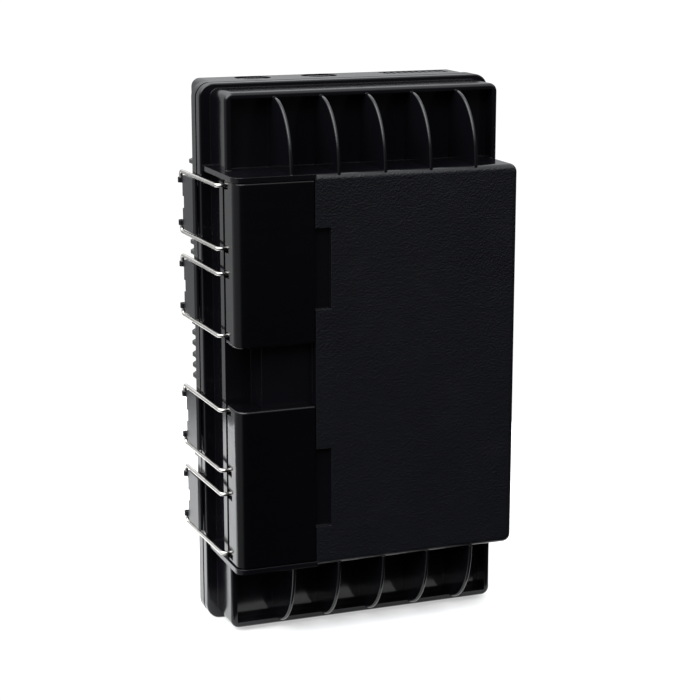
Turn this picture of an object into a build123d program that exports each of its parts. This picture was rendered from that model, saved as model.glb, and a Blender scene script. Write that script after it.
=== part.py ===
"""Outdoor equipment enclosure for cable splices: two moulded shells, four wire latches, swinging trays.

Frame: +Z runs up the long side, the cover faces -Y, and the latches are on -X.
The origin is at the middle of the bottom of the whole enclosure. Millimetres.
"""

import os

from build123d import *

# --- Driving dimensions -------------------------------------------------------------------
HEIGHT = 450.0
MID_Z = HEIGHT / 2
FLANGE_W = 252.0
BODY_W = 234.0
COVER_DEPTH = 91.0
SHELL_DEPTH = 45.0
OUTER_X = 132.4  # the latch lugs on one side and the hinge on the other end here
WALL = 3.2

FLANGE_X = FLANGE_W / 2
BODY_X = BODY_W / 2
FRONT_Y = -(COVER_DEPTH + SHELL_DEPTH) / 2
BACK_Y = -FRONT_Y
PARTING_Y = FRONT_Y + COVER_DEPTH

# Shells
COVER_FLANGE_T = 10.0
SHELL_FLANGE_T = 12.0
REBATE_W, REBATE_DEPTH = 1.5, 2.5  # open joint round the outside of the parting plane
FLANGE_R = 12.0
BODY_R = 7.0
END_INSET = 4.0  # the cover's end walls stand back from the ends of the flange
RIM_Y = PARTING_Y - 49.0  # front of the ribbed end sections
RECESS_Y = PARTING_Y - 37.0  # floor of the ribbed end sections
RIM_W = 5.0
RIM_ROUND = 3.0
BLOCK_HALF = 160.0  # half height of the raised middle
BLOCK_ROUND = 5.0
RIB_PITCH = 39.0
RIB_SHIFT = 2.0
RIB_T = 3.0

# Latch side of the cover
PANEL_LEFT = -57.5  # left edge of the textured panel
CORE_X = -100.0
CORE_Y = PARTING_Y - 82.0
RIDGE_X = -121.5
RIDGE_FRONT = PARTING_Y - 55.0
RIDGE_BACK = PARTING_Y - 46.0
WEB_X = -124.0
WEB_T = 4.2
WEB_R = 9.0
GUARD_X = -123.0
GUARD_BACK = PARTING_Y - 64.0
GUARD_LOW, GUARD_HIGH = 25.5, 155.5  # above and below mid height
POCKET_LOW, POCKET_HIGH = 57.0, 122.0  # finger pockets, above and below mid height
POCKET_DROP = 4.5  # both sit a little low
POCKET_W = 13.0
POCKET_DEPTH = 3.5

# Latches
LATCH_Z = [MID_Z + 125.5, MID_Z + 55.5, MID_Z - 55.5, MID_Z - 125.5]
WIRE_R = 1.6
LEG_HALF = 25.0
FIT = 0.1  # radial play of a pin or a wire in its hole
PIVOT_X, PIVOT_Y = -112.0, PARTING_Y - 59.5
BEND_X = -127.5
HOOK_IN, HOOK_OUT = 10.0, 19.0  # hooks that the loop turns in, above and below its middle
SLOT_Y = PARTING_Y - 73.0  # the legs swing this far into the guard's slots
TIP_X, TIP_Y = -129.8, PARTING_Y + 33.0
STUB = 8.0
LEVER_HALF = 22.4
LEVER_IN, LEVER_OUT = -127.0, -130.2
LEVER_FRONT = PARTING_Y - 4.0
LEVER_BACK = TIP_Y - 5.2
LUG_R = 2.6
LUG_IN, LUG_OUT = 15.5, 19.8  # the two lugs, above and below the lever's middle

# Hinge
HINGE_R = 4.2
HINGE_X = OUTER_X - HINGE_R
HINGE_PIN_R = 2.0
HINGE_Z = [MID_Z + 100.0, MID_Z - 100.0]
KNUCKLE = 16.0
KNUCKLE_GAP = 0.4

# Seal
GASKET_X = 119.5
GASKET_W = 5.0
GROOVE_DEPTH = 4.0
TONGUE = 1.2

# Ports on the top end
PORT_X = [-69.0, -11.0]
PORT_Y = PARTING_Y + 27.0
PORT_R = 15.0
COMB_LOW, COMB_HIGH = 45.0, 103.0
COMB_TEETH = 10

# Inside
PLATE_Y = PARTING_Y + 34.0
PLATE_T = 2.0
PLATE_W, PLATE_H = 196.0, 396.0
PLATE_SCREWS = (160.0, 360.0)
INSERT_SPACING = (180.0, 380.0)
INSERT_R = 4.0
INSERT_BORE_R = 2.5
TRAY_BOTTOM, TRAY_TOP = MID_Z - 95.0, MID_Z + 95.0
TRAY_W = 152.0
TRAY_T = 9.0
TRAY_PITCH = 12.0
TRAY_PIN_X = 88.0
TRAY_PIN_R = 2.5
TRAY_FIRST_Y = PARTING_Y + 14.0
ADAPTERS = 8
ADAPTER_PITCH = 17.0
ADAPTER_Z = 96.0
CLAMP_Z = 380.0
CLAMP_HOLE = 16.0

os.makedirs("parts", exist_ok=True)


def facing_front(y):
    """A sketch plane at depth y that reads x and z, and extrudes towards the front."""
    return Plane.XZ.offset(-y)


def save(part, name):
    part.label = name
    export_step(part, f"parts/{name}.step")


def block(x, y, z, mode=Mode.ADD):
    """A box between the two values of each axis."""
    middle = ((x[0] + x[1]) / 2, (y[0] + y[1]) / 2, (z[0] + z[1]) / 2)
    with Locations(middle):
        Box(abs(x[1] - x[0]), abs(y[1] - y[0]), abs(z[1] - z[0]), mode=mode)


def ring_sketch(width, height, radius, ring):
    """The outline of a frame of the given width, in the current sketch."""
    with Locations((0, MID_Z)):
        RectangleRounded(width + ring, height + ring, radius + ring / 2)
        RectangleRounded(width - ring, height - ring, radius - ring / 2, mode=Mode.SUBTRACT)


def knuckle(z, low, high, side):
    """One hinge barrel between two heights, with the arm that joins it to a flange."""
    with BuildSketch(Plane.XY.offset(z + low)) as barrel:
        with Locations((HINGE_X, PARTING_Y)):
            Circle(HINGE_R)
        arm = side * HINGE_R / 2
        with Locations(((HINGE_X + FLANGE_X - 4) / 2, PARTING_Y + arm)):
            Rectangle(HINGE_X - FLANGE_X + 4, HINGE_R)
    extrude(barrel.sketch, amount=high - low)
    with BuildSketch(Plane.XY.offset(z + low)) as bore:
        with Locations((HINGE_X, PARTING_Y)):
            Circle(HINGE_PIN_R + FIT)
    extrude(bore.sketch, amount=high - low, mode=Mode.SUBTRACT)


def clear_knuckle(z, low, high):
    """Room in one flange for the other shell's hinge barrel."""
    with BuildSketch(Plane.XY.offset(z + low - KNUCKLE_GAP)) as room:
        with Locations((HINGE_X, PARTING_Y)):
            Circle(HINGE_R + 2 * KNUCKLE_GAP)
            Rectangle(2 * (HINGE_X - FLANGE_X + 2.8), 2 * HINGE_R + 4 * KNUCKLE_GAP)
    extrude(room.sketch, amount=high - low + 2 * KNUCKLE_GAP, mode=Mode.SUBTRACT)


# --- Front cover --------------------------------------------------------------------------
END_LOW = END_INSET
END_HIGH = HEIGHT - END_INSET
BLOCK_LOW = MID_Z - BLOCK_HALF
BLOCK_HIGH = MID_Z + BLOCK_HALF
PANEL_W = BODY_X - PANEL_LEFT
PANEL_MID = (BODY_X + PANEL_LEFT) / 2

with BuildPart() as front_cover:
    # Box-shaped body with a rounded rim
    with BuildSketch(facing_front(PARTING_Y)):
        with Locations((0, MID_Z)):
            RectangleRounded(BODY_W, END_HIGH - END_LOW, BODY_R)
    extrude(amount=PARTING_Y - RIM_Y)
    fillet(front_cover.faces().sort_by(Axis.Y)[0].edges(), RIM_ROUND)

    # Raised middle under the textured panel
    with BuildSketch(facing_front(RECESS_Y + 4)) as middle_outline:
        with Locations((PANEL_MID, MID_Z)):
            Rectangle(PANEL_W, 2 * BLOCK_HALF)
        fillet(middle_outline.vertices().group_by(Axis.X)[-1], BODY_R)
    extrude(amount=RECESS_Y + 4 - FRONT_Y)
    front_face = front_cover.faces().sort_by(Axis.Y)[0]
    left_edge = front_face.edges().sort_by(Axis.X)[0]
    fillet([e for e in front_face.edges() if e != left_edge], BLOCK_ROUND)

    # Core that the latch guards sit on, and the ridge along the flange side
    block((CORE_X, PANEL_LEFT + 1), (RECESS_Y, CORE_Y), (BLOCK_LOW, BLOCK_HIGH))
    block((RIDGE_X, CORE_X), (RIDGE_BACK, RIDGE_FRONT), (BLOCK_LOW, BLOCK_HIGH))

    # Flange
    with BuildSketch(facing_front(PARTING_Y)):
        with Locations((0, MID_Z)):
            RectangleRounded(FLANGE_W, HEIGHT, FLANGE_R)
    extrude(amount=COVER_FLANGE_T)
    fillet(
        front_cover.faces()
        .filter_by(Axis.Y)
        .filter_by_position(Axis.Y, PARTING_Y - COVER_FLANGE_T - 0.1, PARTING_Y - COVER_FLANGE_T + 0.1)
        .sort_by(SortBy.AREA)[-1]
        .outer_wire()
        .edges(),
        1.5,
    )

    # Thin webs that close the latch bay at both ends
    for low in (BLOCK_LOW, BLOCK_HIGH - WEB_T):
        with BuildSketch(Plane.XY.offset(low)):
            with BuildLine():
                FilletPolyline(
                    (PANEL_LEFT + 1, FRONT_Y),
                    (WEB_X, FRONT_Y),
                    (WEB_X, PARTING_Y - 1),
                    radius=WEB_R,
                )
                Polyline(
                    (WEB_X, PARTING_Y - 1),
                    (PANEL_LEFT + 1, PARTING_Y - 1),
                    (PANEL_LEFT + 1, FRONT_Y),
                )
            make_face()
        extrude(amount=WEB_T)

    # Ribbed end sections: a recess inside the rim
    end_mid = (END_HIGH - RIM_W + BLOCK_HIGH) / 2
    end_height = END_HIGH - RIM_W - BLOCK_HIGH
    for z in (end_mid, HEIGHT - end_mid):
        with BuildSketch(facing_front(RECESS_Y)):
            with Locations((0, z)):
                Rectangle(BODY_W - 2 * RIM_W, end_height)
        extrude(amount=RECESS_Y - RIM_Y + 1, mode=Mode.SUBTRACT)

    # Hollow inside
    inner_w = BODY_W - 2 * WALL
    with BuildSketch(facing_front(PARTING_Y)):
        with Locations((0, MID_Z)):
            RectangleRounded(inner_w, END_HIGH - END_LOW - 2 * WALL, BODY_R - WALL)
    extrude(amount=PARTING_Y - RECESS_Y - WALL, mode=Mode.SUBTRACT)
    inside = (BLOCK_LOW + WALL, BLOCK_HIGH - WALL)
    block((-inner_w / 2, inner_w / 2), (PARTING_Y, RIDGE_FRONT + WALL), inside, Mode.SUBTRACT)
    block((CORE_X + WALL, inner_w / 2), (PARTING_Y, CORE_Y + WALL), inside, Mode.SUBTRACT)
    block(
        (PANEL_LEFT + WALL, inner_w / 2), (PARTING_Y, FRONT_Y + WALL), inside, Mode.SUBTRACT
    )

    # Curved ribs across the end sections
    for number in range(5):
        x = RIB_SHIFT + (number - 2) * RIB_PITCH
        for up in (1, -1):
            with BuildSketch(Plane.YZ.offset(x)):
                with BuildLine():
                    foot = (RIM_Y + 2, MID_Z + up * (END_HIGH - RIM_W - MID_Z + 1))
                    nose = (FRONT_Y + 1, MID_Z + up * BLOCK_HALF)
                    root = (RECESS_Y + 0.5, nose[1] - up * 1)
                    EllipticalCenterArc(
                        (foot[0], nose[1]),
                        foot[0] - nose[0],
                        abs(foot[1] - nose[1]),
                        start_angle=90 if up == 1 else 180,
                        arc_size=90,
                    )
                    Polyline(nose, (nose[0], root[1]), root, (root[0], foot[1]), foot)
                make_face()
            rib = extrude(amount=RIB_T / 2, both=True, mode=Mode.PRIVATE)
            add(rib.fillet(RIB_T / 2 - 0.1, rib.edges().filter_by(GeomType.ELLIPSE)))

    # Finger pockets beside the guards, each with a pad behind it
    for side in (1, -1):
        low, high = sorted((side * POCKET_LOW - POCKET_DROP, side * POCKET_HIGH - POCKET_DROP))
        pad_y = (FRONT_Y + 1, FRONT_Y + POCKET_DEPTH + WALL)
        pad_z = (MID_Z + low - WALL, MID_Z + high + WALL)
        block((PANEL_LEFT + 1, PANEL_LEFT + POCKET_W + WALL), pad_y, pad_z)
        pocket_y = (FRONT_Y - 1, FRONT_Y + POCKET_DEPTH)
        pocket_z = (MID_Z + low, MID_Z + high)
        block((PANEL_LEFT - 1, PANEL_LEFT + POCKET_W), pocket_y, pocket_z, Mode.SUBTRACT)

    # Open joint round the outside, with a tongue inside it that presses on the gasket
    with BuildSketch(facing_front(PARTING_Y)):
        ring_sketch(FLANGE_W, HEIGHT, FLANGE_R, 2 * REBATE_DEPTH)
    extrude(amount=REBATE_W, mode=Mode.SUBTRACT)
    with BuildSketch(facing_front(PARTING_Y + TONGUE)):
        ring_sketch(2 * GASKET_X, HEIGHT - FLANGE_W + 2 * GASKET_X, FLANGE_R - 6.5, 2.4)
    extrude(amount=TONGUE + 1)

    # Hinge
    for z in HINGE_Z:
        clear_knuckle(z, -1.5 * KNUCKLE, -0.5 * KNUCKLE)
        clear_knuckle(z, 0.5 * KNUCKLE, 1.5 * KNUCKLE)
        knuckle(z, -0.5 * KNUCKLE + KNUCKLE_GAP, 0.5 * KNUCKLE - KNUCKLE_GAP, -1)
save(front_cover.part, "front_cover")


# --- Latch guards -------------------------------------------------------------------------
def latch_guard(side, name):
    """Glossy corner piece over two latches, with hooks on its back that their wires turn in."""
    low = MID_Z + GUARD_LOW if side == 1 else MID_Z - GUARD_HIGH
    height = GUARD_HIGH - GUARD_LOW
    gap = 0.3
    with BuildPart() as guard:
        with BuildSketch(Plane.XY.offset(low)):
            with BuildLine():
                FilletPolyline(
                    (PANEL_LEFT - 0.8, FRONT_Y),
                    (GUARD_X, FRONT_Y),
                    (GUARD_X, GUARD_BACK),
                    radius=WEB_R,
                )
                Polyline(
                    (GUARD_X, GUARD_BACK),
                    (CORE_X - gap, GUARD_BACK),
                    (CORE_X - gap, CORE_Y - gap),
                    (PANEL_LEFT - 0.8, CORE_Y - gap),
                    (PANEL_LEFT - 0.8, FRONT_Y),
                )
            make_face()
        extrude(amount=height)
        ends = guard.faces().filter_by(Axis.Z)
        outer = [e for e in ends.edges() if e.center().Y < CORE_Y - 4 or e.center().X < GUARD_X + 1]
        fillet(outer, 1.5)
        # Lightening pocket behind the front wall
        block(
            (CORE_X + 3, PANEL_LEFT - 5),
            (CORE_Y, FRONT_Y + WALL),
            (low + 5, low + height - 5),
            Mode.SUBTRACT,
        )
        for latch in LATCH_Z:
            if low < latch < low + height:
                # Hooks behind the guard that the loop turns in
                for hook in (latch - HOOK_OUT, latch + HOOK_IN):
                    block(
                        (PIVOT_X - 5, PIVOT_X + 5),
                        (GUARD_BACK - 1, RIDGE_FRONT - gap),
                        (hook, hook + HOOK_OUT - HOOK_IN),
                    )
                with BuildSketch(Plane.XY.offset(latch - LEG_HALF)):
                    with Locations((PIVOT_X, PIVOT_Y)):
                        Circle(WIRE_R + FIT)
                extrude(amount=2 * LEG_HALF, mode=Mode.SUBTRACT)
                # Slots for the legs
                for leg in (1, -1):
                    z = latch + leg * LEG_HALF
                    block(
                        (GUARD_X - 1, PIVOT_X - 3),
                        (GUARD_BACK + 1, SLOT_Y),
                        (z - WIRE_R - 0.6, z + WIRE_R + 0.6),
                        Mode.SUBTRACT,
                    )
    save(guard.part, name)


latch_guard(1, "upper_latch_guard")
latch_guard(-1, "lower_latch_guard")


# --- Latches ------------------------------------------------------------------------------
def bail_wire(z, name):
    """Closed-up wire loop: it turns in the guard, and its two ends carry the lever."""
    with BuildPart() as wire:
        with BuildLine() as path:
            FilletPolyline(
                (TIP_X, TIP_Y, z + LEG_HALF - STUB),
                (TIP_X, TIP_Y, z + LEG_HALF),
                (BEND_X, PIVOT_Y, z + LEG_HALF),
                (PIVOT_X, PIVOT_Y, z + LEG_HALF),
                (PIVOT_X, PIVOT_Y, z - LEG_HALF),
                (BEND_X, PIVOT_Y, z - LEG_HALF),
                (TIP_X, TIP_Y, z - LEG_HALF),
                (TIP_X, TIP_Y, z - LEG_HALF + STUB),
                radius=3.2,
            )
        with BuildSketch(Plane(origin=path.line @ 0, z_dir=path.line % 0)):
            Circle(WIRE_R)
        sweep(path=path.line)
    save(wire.part, name)


def latch_lever(z, name):
    """Lever plate on the wire's ends, with a lip that catches behind the shell's flange."""
    with BuildPart() as lever:
        with BuildSketch(Plane.XY.offset(z - LEVER_HALF)):
            with BuildLine():
                FilletPolyline(
                    (LEVER_IN, LEVER_BACK),
                    (LEVER_IN, LEVER_FRONT),
                    (LEVER_OUT + 1.2, LEVER_FRONT),
                    (LEVER_OUT, LEVER_FRONT + 3),
                    (LEVER_OUT, LEVER_BACK),
                    radius=0.6,
                )
                Line((LEVER_OUT, LEVER_BACK), (LEVER_IN, LEVER_BACK))
            make_face()
        extrude(amount=2 * LEVER_HALF)
        chamfer(lever.edges().filter_by(Axis.X).group_by(Axis.Y)[-1], 2.5)
        # Notch for a screwdriver or a fingertip
        plate_x = (LEVER_OUT - 1, LEVER_IN + 1)
        block(plate_x, (LEVER_BACK - 3.5, LEVER_BACK + 1), (z - 5, z + 5), Mode.SUBTRACT)
        # Lugs that the wire's ends turn in
        for low in (z - LUG_OUT, z + LUG_IN):
            with BuildSketch(Plane.XY.offset(low)):
                with Locations((TIP_X, TIP_Y)):
                    Circle(LUG_R)
                with Locations(((LEVER_IN + LEVER_OUT) / 2, (TIP_Y + LEVER_BACK) / 2 - 0.5)):
                    Rectangle(LEVER_IN - LEVER_OUT, TIP_Y - LEVER_BACK + 1)
            extrude(amount=LUG_OUT - LUG_IN)
        # Catch lip
        block(
            (LEVER_IN - 0.5, -FLANGE_X + 1.4),
            (PARTING_Y + SHELL_FLANGE_T + 0.6, PARTING_Y + SHELL_FLANGE_T + 3.6),
            (z - 15, z + 15),
        )
        with BuildSketch(Plane.XY.offset(z - LEVER_HALF)):
            with Locations((TIP_X, TIP_Y)):
                Circle(WIRE_R + FIT)
        extrude(amount=2 * LEVER_HALF, mode=Mode.SUBTRACT)
    save(lever.part, name)


for number, z in enumerate(LATCH_Z, 1):
    bail_wire(z, f"bail_wire_{number}")
    latch_lever(z, f"latch_lever_{number}")

# --- Rear shell ---------------------------------------------------------------------------
SHELL_INNER_Y = BACK_Y - 3.5
FIN_X = -122.0
FIN_T = 3.0
FIN_STEPS = [5.0, 14.0, 23.0, 82.5, 91.0, 158.0]

with BuildPart() as rear_shell:
    with BuildSketch(facing_front(BACK_Y)):
        with Locations((0, MID_Z)):
            RectangleRounded(BODY_W, HEIGHT, BODY_R)
    extrude(amount=SHELL_DEPTH)
    fillet(rear_shell.faces().sort_by(Axis.Y)[-1].edges(), 4)
    with BuildSketch(facing_front(PARTING_Y + SHELL_FLANGE_T)):
        with Locations((0, MID_Z)):
            RectangleRounded(FLANGE_W, HEIGHT, FLANGE_R)
    extrude(amount=SHELL_FLANGE_T)
    # Short cooling fins on the latch side
    for step in FIN_STEPS:
        for side in (1, -1):
            z = MID_Z + side * step
            with BuildSketch(Plane.XY.offset(z - FIN_T / 2)):
                with BuildLine():
                    Polyline(
                        (FIN_X, PARTING_Y + SHELL_FLANGE_T - 1),
                        (FIN_X, BACK_Y - 10),
                        (FIN_X + 4, BACK_Y - 4),
                        (-BODY_X + 1, BACK_Y - 4),
                        (-BODY_X + 1, PARTING_Y + SHELL_FLANGE_T - 1),
                        close=True,
                    )
                make_face()
            extrude(amount=FIN_T)
    # Hollow inside
    with BuildSketch(facing_front(SHELL_INNER_Y)):
        with Locations((0, MID_Z)):
            RectangleRounded(BODY_W - 2 * WALL, HEIGHT - 8, BODY_R - WALL)
    extrude(amount=SHELL_INNER_Y - PARTING_Y, mode=Mode.SUBTRACT)
    # Bosses for the mounting plate and for the wall screws
    with BuildSketch(facing_front(SHELL_INNER_Y + 1)):
        with Locations((0, MID_Z)):
            with GridLocations(PLATE_SCREWS[0], PLATE_SCREWS[1], 2, 2):
                Circle(6)
    extrude(amount=SHELL_INNER_Y + 1 - PLATE_Y - PLATE_T)
    with BuildSketch(facing_front(SHELL_INNER_Y + 1)):
        with Locations((0, MID_Z)):
            with GridLocations(INSERT_SPACING[0], INSERT_SPACING[1], 2, 2):
                Circle(8)
    extrude(amount=12)
    with BuildSketch(facing_front(BACK_Y)):
        with Locations((0, MID_Z)):
            with GridLocations(INSERT_SPACING[0], INSERT_SPACING[1], 2, 2):
                Circle(INSERT_R)
    extrude(amount=12.5, mode=Mode.SUBTRACT)
    with BuildSketch(facing_front(SHELL_INNER_Y - 0.8)):
        with Locations((0, MID_Z)):
            with GridLocations(PLATE_SCREWS[0], PLATE_SCREWS[1], 2, 2):
                Circle(1.95)
    extrude(amount=12, mode=Mode.SUBTRACT)
    # Seal groove
    with BuildSketch(facing_front(PARTING_Y + GROOVE_DEPTH)):
        ring_sketch(2 * GASKET_X, HEIGHT - FLANGE_W + 2 * GASKET_X, FLANGE_R - 6.5, GASKET_W)
    extrude(amount=GROOVE_DEPTH, mode=Mode.SUBTRACT)
    # Open joint round the outside
    with BuildSketch(facing_front(PARTING_Y + REBATE_W)):
        ring_sketch(FLANGE_W, HEIGHT, FLANGE_R, 2 * REBATE_DEPTH)
    extrude(amount=REBATE_W, mode=Mode.SUBTRACT)
    # Cable ports in the top end
    for x in PORT_X:
        with BuildSketch(Plane.XY.offset(HEIGHT - 20)):
            with Locations((x, PORT_Y)):
                Circle(PORT_R)
        extrude(amount=20, mode=Mode.SUBTRACT)
    comb_y = (PORT_Y - 8, PORT_Y + 10)
    block((COMB_LOW, COMB_HIGH), comb_y, (HEIGHT - 10, HEIGHT), Mode.SUBTRACT)
    for z in HINGE_Z:
        clear_knuckle(z, -0.5 * KNUCKLE, 0.5 * KNUCKLE)
        knuckle(z, -1.5 * KNUCKLE + KNUCKLE_GAP, -0.5 * KNUCKLE, 1)
        knuckle(z, 0.5 * KNUCKLE, 1.5 * KNUCKLE - KNUCKLE_GAP, 1)
save(rear_shell.part, "rear_shell")

# --- Seal and hinge pins ------------------------------------------------------------------
with BuildPart() as gasket:
    with BuildSketch(facing_front(PARTING_Y + GROOVE_DEPTH)):
        ring_sketch(2 * GASKET_X, HEIGHT - FLANGE_W + 2 * GASKET_X, FLANGE_R - 6.5, GASKET_W - 0.2)
    extrude(amount=GROOVE_DEPTH - TONGUE - 0.1)
save(gasket.part, "perimeter_gasket")

for z, name in zip(HINGE_Z, ("upper_hinge_pin", "lower_hinge_pin")):
    with BuildPart() as hinge_pin:
        with BuildSketch(Plane.XY.offset(z - 1.5 * KNUCKLE)):
            with Locations((HINGE_X, PARTING_Y)):
                Circle(HINGE_PIN_R)
        extrude(amount=3 * KNUCKLE + 2)
        fillet(hinge_pin.faces().sort_by(Axis.Z)[-1].edges(), 1)
    save(hinge_pin.part, name)

# --- Cable entries ------------------------------------------------------------------------
GROMMET_BORE_R = 9.0
for x, name in zip(PORT_X, ("left_port_grommet", "right_port_grommet")):
    with BuildPart() as grommet:
        with Locations((x, PORT_Y, HEIGHT - 4)):
            Cylinder(PORT_R - 0.1, 8, align=(Align.CENTER, Align.CENTER, Align.MAX))
            Cylinder(PORT_R - 0.1, 2.5, align=(Align.CENTER, Align.CENTER, Align.MIN))
        for ring in (3.0, 6.0):
            with Locations((x, PORT_Y, HEIGHT - 4 - ring)):
                Torus(PORT_R - 1.2, 0.9)
        with Locations((x, PORT_Y, HEIGHT)):
            Cylinder(
                GROMMET_BORE_R,
                20,
                align=(Align.CENTER, Align.CENTER, Align.MAX),
                mode=Mode.SUBTRACT,
            )
    save(grommet.part, name)

with BuildPart() as comb:
    play = 0.1
    x = (COMB_LOW + play, COMB_HIGH - play)
    y = (PORT_Y - 8 + play, PORT_Y + 10 - play)
    block(x, y, (HEIGHT - 10, HEIGHT - 4))
    pitch = (COMB_HIGH - COMB_LOW) / COMB_TEETH
    for tooth in range(COMB_TEETH):
        low = COMB_LOW + pitch * (tooth + 0.25)
        block((low, low + pitch / 2), (y[0], y[1]), (HEIGHT - 4.5, HEIGHT - 0.5))
save(comb.part, "drop_cable_comb")

# --- Inside: plate, inserts, clamps, ground ------------------------------------------------
with BuildPart() as inserts:
    with BuildSketch(facing_front(BACK_Y)):
        with Locations((0, MID_Z)):
            with GridLocations(INSERT_SPACING[0], INSERT_SPACING[1], 2, 2):
                Circle(INSERT_R)
                Circle(INSERT_BORE_R, mode=Mode.SUBTRACT)
    extrude(amount=12.5)
save(inserts.part, "wall_inserts")

CLAMP_X = PORT_X
STUD_X, STUD_Z = 70.0, 400.0
with BuildPart() as mounting_plate:
    with BuildSketch(facing_front(PLATE_Y + PLATE_T)):
        with Locations((0, MID_Z)):
            RectangleRounded(PLATE_W, PLATE_H, 8)
            with GridLocations(PLATE_SCREWS[0], PLATE_SCREWS[1], 2, 2):
                Circle(2.2, mode=Mode.SUBTRACT)
            with GridLocations(INSERT_SPACING[0], INSERT_SPACING[1], 2, 2):
                Circle(9, mode=Mode.SUBTRACT)
        with Locations(*[(x + side * CLAMP_HOLE, CLAMP_Z) for x in CLAMP_X for side in (1, -1)]):
            Circle(2, mode=Mode.SUBTRACT)
        with Locations((STUD_X, STUD_Z)):
            Circle(3, mode=Mode.SUBTRACT)
        # Tie slots
        with Locations((-80, MID_Z)):
            with GridLocations(14, 40, 2, 7):
                SlotOverall(16, 4, rotation=90, mode=Mode.SUBTRACT)
    extrude(amount=PLATE_T)
save(mounting_plate.part, "mounting_plate")


def pan_screw(x, z, y_under, shank_r, length, head_r):
    """A pan-head screw that points back from the plane y_under, with a cross slot."""
    with BuildSketch(facing_front(y_under + length)) as shank:
        with Locations((x, z)):
            Circle(shank_r)
    extrude(shank.sketch, amount=length)
    with BuildSketch(facing_front(y_under)) as head:
        with Locations((x, z)):
            Circle(head_r)
    extrude(head.sketch, amount=2.4)
    with BuildSketch(facing_front(y_under - 1.2)) as slot:
        with Locations((x, z)):
            Rectangle(head_r * 1.2, 0.9)
            Rectangle(0.9, head_r * 1.2)
    extrude(slot.sketch, amount=1.2, mode=Mode.SUBTRACT)


with BuildPart() as plate_screws:
    for sx in (1, -1):
        for sz in (1, -1):
            x, z = sx * PLATE_SCREWS[0] / 2, MID_Z + sz * PLATE_SCREWS[1] / 2
            pan_screw(x, z, PLATE_Y, 1.9, 6, 4)
save(plate_screws.part, "plate_screws")

CLAMP_R = 9.5
for cx, name in zip(CLAMP_X, ("left_cable_clamp", "right_cable_clamp")):
    with BuildPart() as clamp:
        with BuildSketch(Plane.XY.offset(CLAMP_Z - 7)):
            middle = PLATE_Y - CLAMP_R - 0.5
            with Locations((cx, middle)):
                Circle(CLAMP_R + 2.5)
            with Locations((cx, PLATE_Y - 1.5)):
                Rectangle(42, 3)
            with Locations((cx, (middle + PLATE_Y) / 2)):
                Rectangle(2 * CLAMP_R + 5, PLATE_Y - middle)
            with Locations((cx, middle)):
                Circle(CLAMP_R, mode=Mode.SUBTRACT)
            with Locations((cx, (middle + PLATE_Y) / 2 + 2)):
                Rectangle(2 * CLAMP_R, PLATE_Y - middle + 4, mode=Mode.SUBTRACT)
        extrude(amount=14)
        with BuildSketch(facing_front(PLATE_Y)):
            with Locations((cx - CLAMP_HOLE, CLAMP_Z), (cx + CLAMP_HOLE, CLAMP_Z)):
                Circle(2.0)
        extrude(amount=3, mode=Mode.SUBTRACT)
    save(clamp.part, name)

with BuildPart() as clamp_screws:
    for cx in CLAMP_X:
        for side in (1, -1):
            pan_screw(cx + side * CLAMP_HOLE, CLAMP_Z, PLATE_Y - 3, 1.6, 4.5, 2.6)
save(clamp_screws.part, "clamp_screws")

with BuildPart() as stud:
    with BuildSketch(facing_front(PLATE_Y + PLATE_T + 0.6)):
        with Locations((STUD_X, STUD_Z)):
            Circle(4.4)
    extrude(amount=0.6)
    with BuildSketch(facing_front(PLATE_Y + PLATE_T)):
        with Locations((STUD_X, STUD_Z)):
            Circle(2.95)
    extrude(amount=18)
    chamfer(stud.faces().sort_by(Axis.Y)[0].edges(), 0.6)
save(stud.part, "ground_stud")

with BuildPart() as nut:
    with BuildSketch(facing_front(PLATE_Y)):
        with Locations((STUD_X, STUD_Z)):
            RegularPolygon(5.8, 6)
            Circle(3, mode=Mode.SUBTRACT)
    extrude(amount=5)
save(nut.part, "ground_nut")

# --- Swinging splice trays ----------------------------------------------------------------
TRAY_YS = [TRAY_FIRST_Y - TRAY_PITCH * step for step in range(3)]
EAR_Z = [TRAY_BOTTOM - 7, TRAY_TOP + 3]

with BuildPart() as bracket:
    # Foot on the plate and two shelves that hold the pins
    block((TRAY_PIN_X - 6, PLATE_W / 2 - 1), (PLATE_Y - 2, PLATE_Y), (EAR_Z[0], EAR_Z[1] + 4))
    for z in EAR_Z:
        block(
            (TRAY_PIN_X - 6, PLATE_W / 2 - 1), (TRAY_YS[-1] - 6, PLATE_Y - 1), (z, z + 4)
        )
    with BuildSketch(Plane.XY.offset(EAR_Z[0])):
        with Locations(*[(TRAY_PIN_X, y) for y in TRAY_YS]):
            Circle(TRAY_PIN_R + 0.02)
    extrude(amount=EAR_Z[1] - EAR_Z[0] + 4, mode=Mode.SUBTRACT)
save(bracket.part, "tray_bracket")

with BuildPart() as tray_pins:
    with BuildSketch(Plane.XY.offset(EAR_Z[0] - 1)):
        with Locations(*[(TRAY_PIN_X, y) for y in TRAY_YS]):
            Circle(TRAY_PIN_R)
    extrude(amount=EAR_Z[1] - EAR_Z[0] + 6)
save(tray_pins.part, "tray_pins")


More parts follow.
